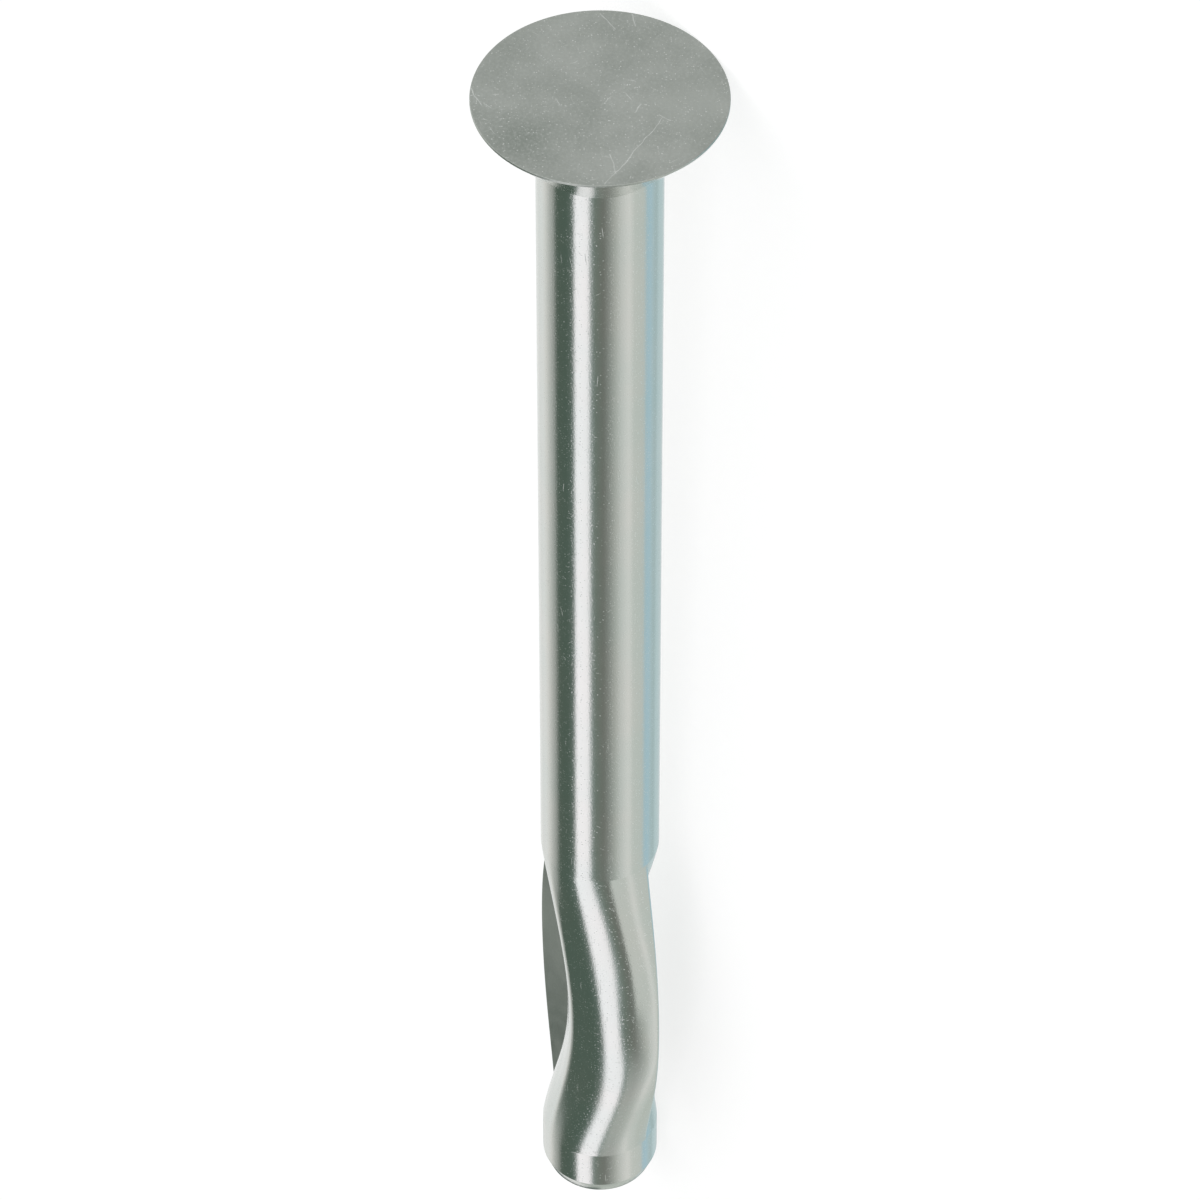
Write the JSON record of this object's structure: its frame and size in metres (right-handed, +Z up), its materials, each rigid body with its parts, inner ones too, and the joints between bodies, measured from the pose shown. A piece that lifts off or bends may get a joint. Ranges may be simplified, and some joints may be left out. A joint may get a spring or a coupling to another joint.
{
  "type": "split-drive anchor",
  "caption": "Countersunk one-piece hammer-in anchor whose slit shank has opposed half-round legs bowed to either side, above a short whole tip.",
  "frame": {"origin": "centre of the anchor's bounding box on the ground it lies on", "axes": "+Z up; the anchor lies along Y with its head towards -Y; its axis rises by 2.3 degrees towards the head, because the head is wider than the tip"},
  "size_m": [0.0126, 0.0798, 0.0127],
  "materials": {
    "zinc_steel": "bright zinc plate, smooth and mirror-like on the shank, satin and lightly scratched on the head's face"
  },
  "bodies": {
    "root": {"anchor_body": "zinc_steel"}
  },
  "joints": []
}
